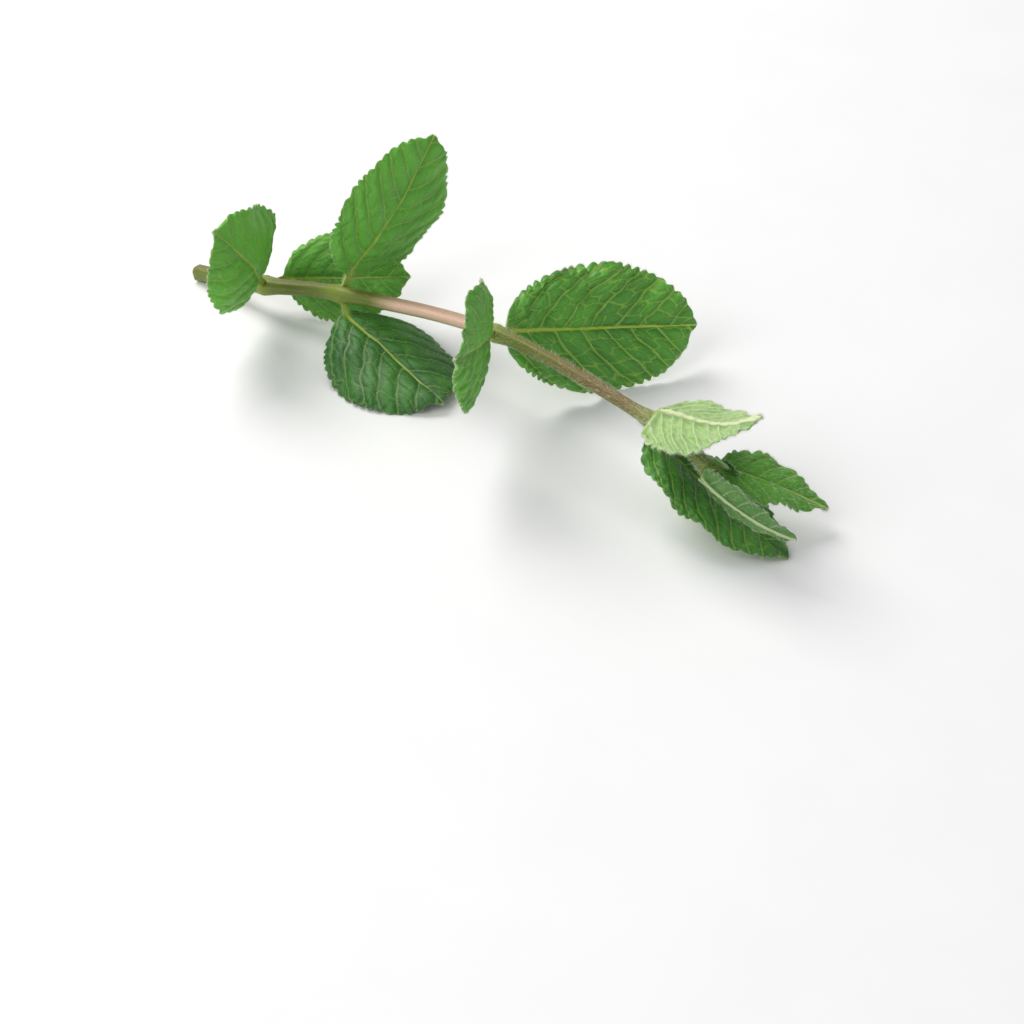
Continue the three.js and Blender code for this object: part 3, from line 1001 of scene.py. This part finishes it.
class MintStage(bpy.types.PropertyGroup):
    camera_place: place_property("Camera", "Where the camera stands", 0.2727, -0.3108, 0.2894)
    camera_aim: place_property("Aim", "What the camera looks at", 0.0296, -0.0312, 0.0)
    lens: FloatProperty(name="Lens", description="Focal length of the camera in millimetres",
                        default=80.0, min=10.0)
    light_place: place_property("Light", "Where the stronger light hangs", -0.77, 0.125, 0.9)
    light_power: power_property("Light power", "Power of the stronger light", 9.5)
    fill_place: place_property("Fill", "Where the weaker light hangs", -0.125, -0.77, 0.7)
    fill_power: power_property("Fill power", "Power of the weaker light", 4.0)
    sky: FloatProperty(name="Sky", description="Strength of the even light all round",
                       default=0.46, min=0.0)


def sizes_in_mm(scene):
    """The size settings as plain millimetres."""
    group = scene.mint_sizes
    return SimpleNamespace(
        **{key: getattr(group, key) / MM for key in MintSizes.__annotations__})


def placed(place, aim):
    """The matrix of a light or camera that stands at one point and faces another."""
    way = Vector(aim) - Vector(place)
    return Matrix.Translation(place) @ way.to_track_quat("-Z", "Y").to_matrix().to_4x4()


# ---- Operators ----
class MINT_OT_stem(bpy.types.Operator):
    """Build the square stem with its joints and cut end"""
    bl_idname = "mint.stem"
    bl_label = "Mint stem"

    def execute(self, context):
        made = materials(context.scene.mint_colours)
        finish_piece("stem_body", build_stem(), [made["stem"], made["pith"]], "stem", "stem")
        return {"FINISHED"}


class MINT_OT_leaves(bpy.types.Operator):
    """Build the ten leaves"""
    bl_idname = "mint.leaves"
    bl_label = "Mint leaves"

    def execute(self, context):
        made = materials(context.scene.mint_colours)
        sizes = sizes_in_mm(context.scene)
        for order, leaf in enumerate(LEAVES):
            mesh = build_leaf(leaf, LEAF_FINISH[leaf["name"]], sizes, order)
            slot = "young_leaf" if leaf["name"] in YOUNG else "leaf"
            finish_piece(leaf["name"] + "_blade", mesh, [made["upper"], made["under"]],
                         slot, leaf["name"])
        return {"FINISHED"}


class MINT_OT_tip_bud(bpy.types.Operator):
    """Build the folded leaflets at the tip of the stem"""
    bl_idname = "mint.tip_bud"
    bl_label = "Mint tip bud"

    def execute(self, context):
        made = materials(context.scene.mint_colours)
        sizes = sizes_in_mm(context.scene)
        bm = bmesh.new()
        for order, leaf in enumerate(BUD_LEAVES):
            mesh = build_leaf(leaf, BUD_FINISH, sizes, BUD_ORDER + order)
            bm.from_mesh(mesh)
            bpy.data.meshes.remove(mesh)
        finish_piece("tip_bud_leaflets", new_mesh(bm, "tip_bud"),
                     [made["upper"], made["under"]], "young_leaf", "tip_bud")
        return {"FINISHED"}


class MINT_OT_down(bpy.types.Operator):
    """Build the fine hairs on stem and leaves"""
    bl_idname = "mint.down"
    bl_label = "Mint down"

    def execute(self, context):
        made = materials(context.scene.mint_colours)
        sizes = sizes_in_mm(context.scene)
        old = [leaf["name"] for leaf in LEAVES if leaf["name"] not in YOUNG]
        young = [leaf["name"] for leaf in LEAVES if leaf["name"] in YOUNG]
        young += [leaf["name"] for leaf in BUD_LEAVES]
        for name, slot, (roots, tips) in (
            ("leaf_down", "leaf", leaf_hairs(old, LEAF_HAIRS, sizes, SEED + 1)),
            ("young_leaf_down", "young_leaf", leaf_hairs(young, YOUNG_HAIRS, sizes, SEED + 2)),
            ("stem_down", "stem", stem_hairs(STEM_HAIRS, sizes, SEED + 3)),
        ):
            mesh = hair_mesh(name, roots, tips, sizes.hair_radius)
            finish_piece(name, mesh, [made["down"]], slot)
        return {"FINISHED"}


class MINT_OT_stage(bpy.types.Operator):
    """Lay the pale surface, hang the two soft lights and place the camera"""
    bl_idname = "mint.stage"
    bl_label = "Mint stage"

    def execute(self, context):
        scene = context.scene
        stage = scene.mint_stage
        bm = bmesh.new()
        bmesh.ops.create_grid(bm, x_segments=1, y_segments=1, size=3.0)
        mesh = new_mesh(bm, "surface_below")
        mesh.materials.append(floor_material(scene.mint_colours))
        link_object("surface_below", mesh)

        world = bpy.data.worlds.new("even_sky")
        world.use_nodes = True
        sky = world.node_tree.nodes["Background"]
        sky.inputs["Color"].default_value = (0.98, 0.985, 1.0, 1.0)
        sky.inputs["Strength"].default_value = stage.sky
        scene.world = world

        for name, place, power in (("soft_light", stage.light_place, stage.light_power),
                                   ("soft_fill", stage.fill_place, stage.fill_power)):
            lamp = bpy.data.lights.new(name, "AREA")
            lamp.shape = "DISK"
            lamp.size = 0.75
            lamp.energy = power
            lamp.color = linear("#fffdf9")
            link_object(name, lamp).matrix_world = placed(place, LIGHTS_AIM)

        lens = bpy.data.cameras.new("camera")
        lens.lens = stage.lens
        lens.sensor_width = 36.0
        lens.clip_start = 0.01
        camera = link_object("camera", lens)
        camera.matrix_world = placed(stage.camera_place, stage.camera_aim)
        scene.camera = camera
        scene.view_settings.view_transform = "Standard"
        return {"FINISHED"}


class MINT_PT_panel(bpy.types.Panel):
    """The sprig's settings and its steps, in order"""
    bl_label = "Mint sprig"
    bl_space_type = "VIEW_3D"
    bl_region_type = "UI"
    bl_category = "Mint"

    def draw(self, context):
        scene = context.scene
        for group in (scene.mint_sizes, scene.mint_colours, scene.mint_stage):
            box = self.layout.box()
            for key in type(group).__annotations__:
                box.prop(group, key)
        for step in STEPS:
            self.layout.operator(step.bl_idname)


STEPS = (MINT_OT_stem, MINT_OT_leaves, MINT_OT_tip_bud, MINT_OT_down, MINT_OT_stage)
CLASSES = (MintSizes, MintColours, MintStage, *STEPS, MINT_PT_panel)


def register():
    for cls in CLASSES:
        bpy.utils.register_class(cls)
    bpy.types.Scene.mint_sizes = PointerProperty(type=MintSizes)
    bpy.types.Scene.mint_colours = PointerProperty(type=MintColours)
    bpy.types.Scene.mint_stage = PointerProperty(type=MintStage)


def unregister():
    del bpy.types.Scene.mint_stage
    del bpy.types.Scene.mint_colours
    del bpy.types.Scene.mint_sizes
    for cls in reversed(CLASSES):
        bpy.utils.unregister_class(cls)


def main():
    register()
    bpy.ops.mint.stem()
    bpy.ops.mint.leaves()
    bpy.ops.mint.tip_bud()
    bpy.ops.mint.down()
    bpy.ops.mint.stage()


if __name__ == "__main__":
    main()
